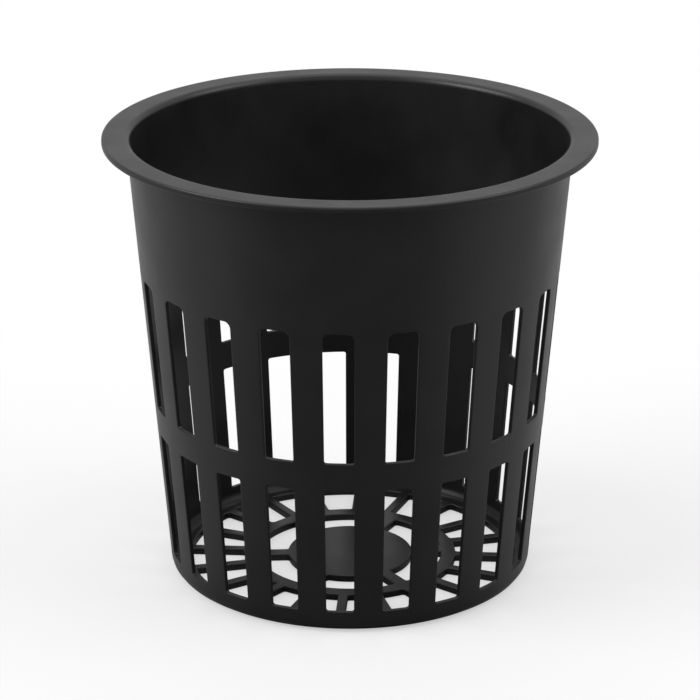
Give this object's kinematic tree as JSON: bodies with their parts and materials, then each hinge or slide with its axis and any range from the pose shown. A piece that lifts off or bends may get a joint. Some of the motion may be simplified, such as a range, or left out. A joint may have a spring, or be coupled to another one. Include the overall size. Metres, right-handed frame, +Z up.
{
  "type": "hydroponic net pot",
  "caption": "Round tapered plastic net pot with a flat flange at the mouth, tall slots in its wall and a grille for a floor, which holds a plant and its growing medium.",
  "frame": {"origin": "centre of the underside of the floor, on the axis of the pot", "axes": "+Z up along the axis of the pot, towards the open mouth; a column of slots faces -Y, turned 3 degrees towards -X"},
  "size_m": [0.105, 0.105, 0.098],
  "materials": {
    "pot_plastic": "satin black moulded polypropylene"
  },
  "bodies": {
    "root": {"net_pot": "pot_plastic"}
  },
  "joints": []
}
